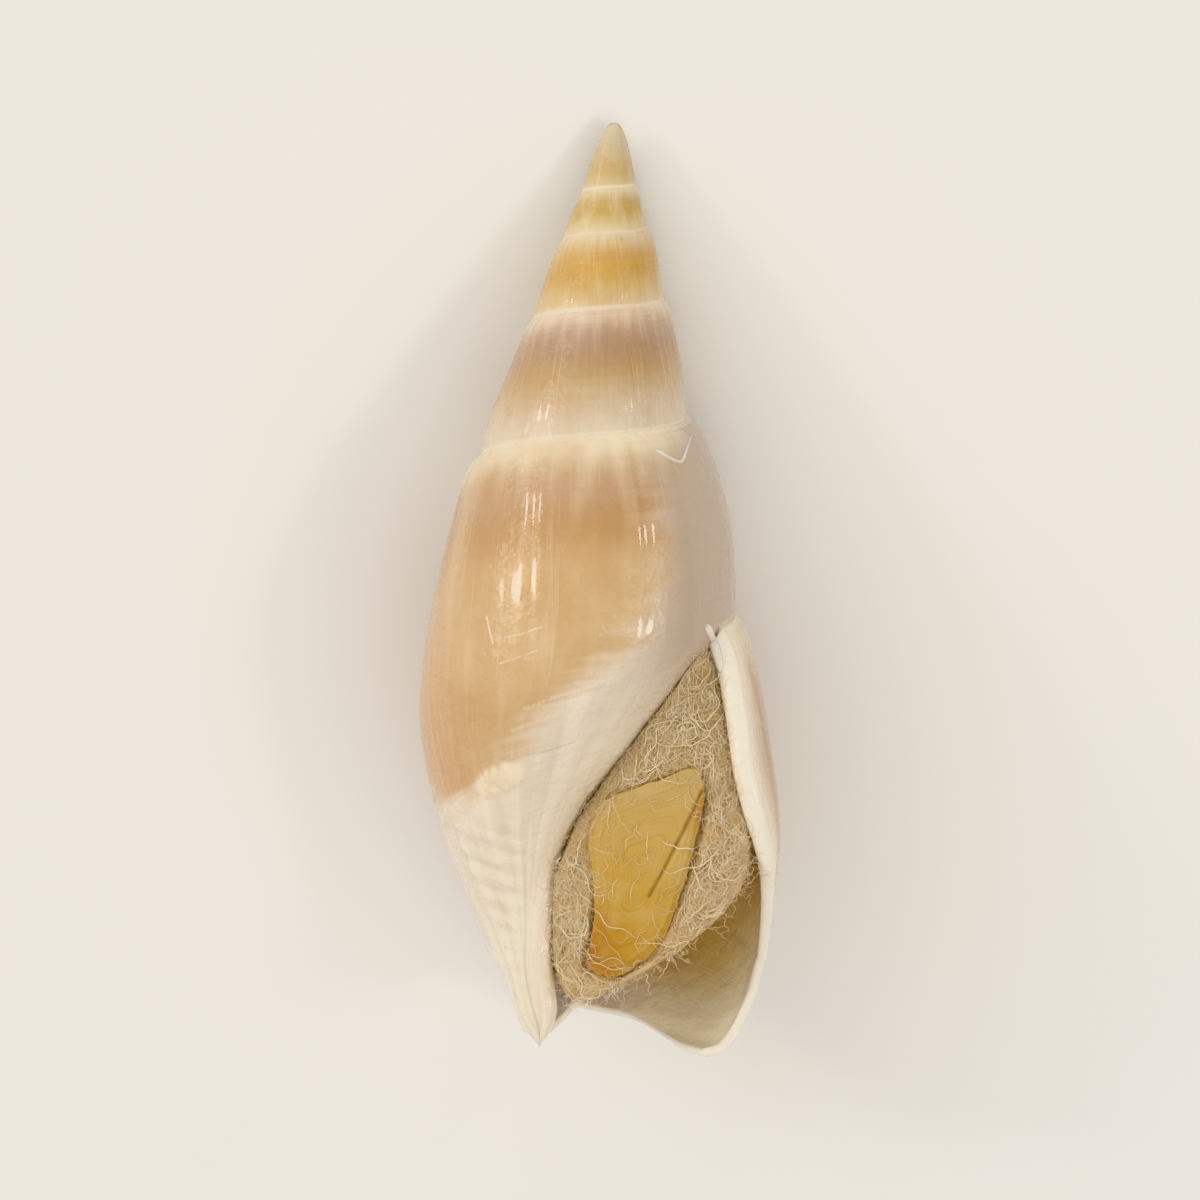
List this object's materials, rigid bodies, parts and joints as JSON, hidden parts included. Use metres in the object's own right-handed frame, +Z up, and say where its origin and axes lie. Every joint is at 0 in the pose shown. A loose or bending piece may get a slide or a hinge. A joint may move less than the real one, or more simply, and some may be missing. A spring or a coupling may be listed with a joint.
{
  "type": "bullia natalensis shell",
  "caption": "Slender glossy whelk-like sea shell lying on its back, its mouth packed with cotton on which a horny operculum rests.",
  "frame": {"origin": "centre of the small flat spot on the shell's back, on the ground", "axes": "+Z up, out of the mouth; +Y towards the apex; +X across, towards the outer lip"},
  "size_m": [0.0199, 0.0487, 0.0163],
  "materials": {
    "shell": "porcelain gloss, cream to golden tan with mauve and orange-brown bands and white callus",
    "cotton": "fluffy off-white cotton fibres",
    "horn": "thin horny plate, satin yellow ochre"
  },
  "bodies": {
    "root": {"shell": "shell", "cotton_wad": "cotton", "operculum": "horn"}
  },
  "joints": []
}
